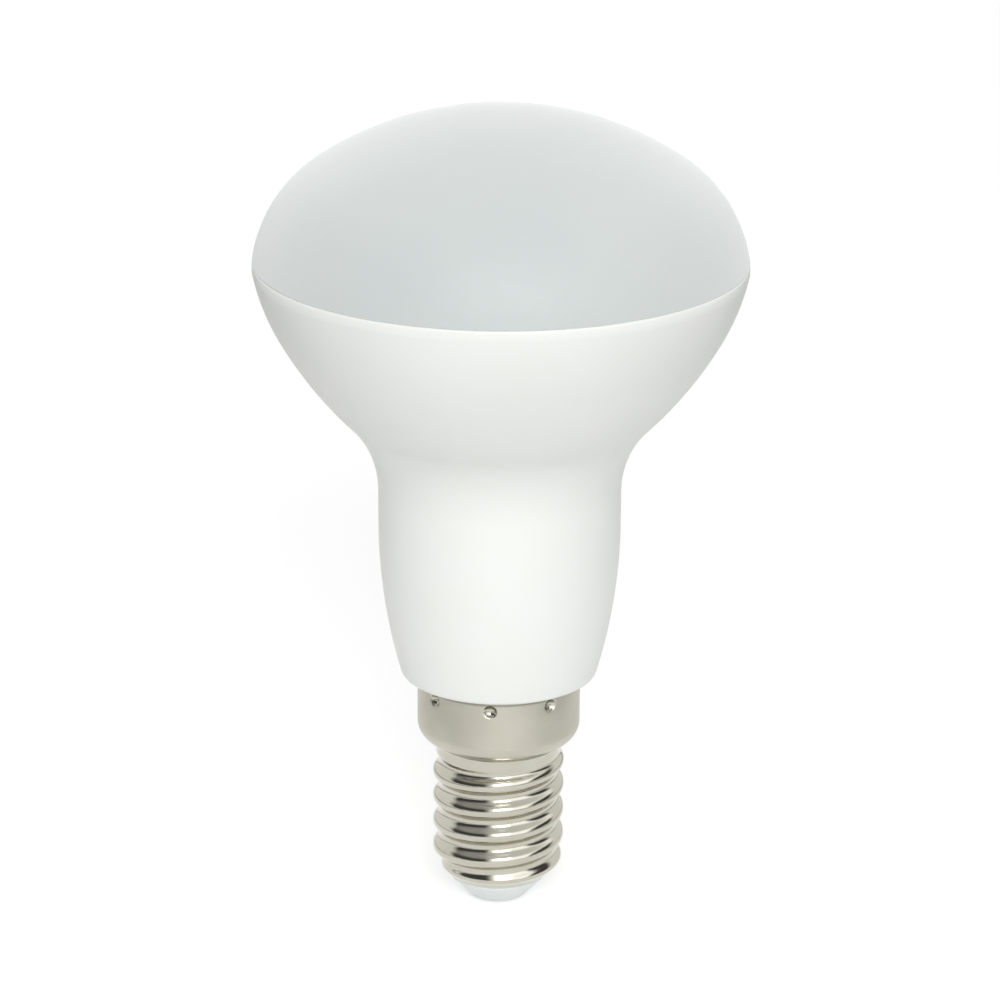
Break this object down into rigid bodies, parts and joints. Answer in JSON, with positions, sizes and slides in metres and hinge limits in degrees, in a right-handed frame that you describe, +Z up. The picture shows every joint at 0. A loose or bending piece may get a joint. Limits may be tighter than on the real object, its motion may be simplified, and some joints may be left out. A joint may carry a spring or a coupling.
{
  "type": "reflector bulb",
  "caption": "Reflector lamp with an opal domed diffuser on a white bowl-shaped housing, a tapered neck, and a small screw cap that carries the lamp and feeds its LED light source.",
  "frame": {"origin": "bottom of the centre contact, on the lamp's axis", "axes": "+Z runs up the lamp's axis from the screw cap to the dome, -Y faces the camera and +X is to its right"},
  "size_m": [0.05, 0.05, 0.085],
  "materials": {
    "opal_diffuser": "satin opal polycarbonate",
    "white_housing": "satin moulded white plastic",
    "nickel_shell": "satin nickel plating, rolled",
    "insulator": "glossy off-white",
    "contact_metal": "nickel plated",
    "bare_aluminium": "drawn sheet",
    "white_board": "white solder mask on aluminium",
    "led_phosphor": "yellow phosphor under silicone",
    "screw_steel": "zinc plated",
    "green_board": "solder mask on glass-fibre epoxy",
    "tinned_wire": "tinned",
    "black_package": "moulded epoxy",
    "chip_resistor": "glazed",
    "ferrite": "fired ferrite",
    "enamelled_copper": "enamelled copper wire",
    "capacitor_sleeve": "shrunk sleeve over an aluminium can",
    "capacitor_epoxy": "epoxy box",
    "resistor_lacquer": "flameproof lacquer"
  },
  "bodies": {
    "root": {"diffuser": "opal_diffuser", "housing": "white_housing", "screw_shell": "nickel_shell", "insulator": "insulator", "centre_contact": "contact_metal", "heat_sink": "bare_aluminium", "led_board": "white_board", "led_01": "led_phosphor", "led_02": "led_phosphor", "led_03": "led_phosphor", "led_04": "led_phosphor", "led_05": "led_phosphor", "led_06": "led_phosphor", "led_07": "led_phosphor", "led_08": "led_phosphor", "led_09": "led_phosphor", "led_10": "led_phosphor", "board_screws": "screw_steel", "driver_board": "green_board", "positive_pin": "tinned_wire", "negative_pin": "tinned_wire", "bridge_rectifier": "black_package", "driver_ic": "black_package", "freewheel_diode": "black_package", "resistor_1": "chip_resistor", "resistor_2": "chip_resistor", "resistor_3": "chip_resistor", "choke_core": "ferrite", "choke_winding": "enamelled_copper", "input_capacitor": "capacitor_sleeve", "film_capacitor": "capacitor_epoxy", "fusible_resistor": "resistor_lacquer", "shell_lead": "tinned_wire"}
  },
  "joints": []
}
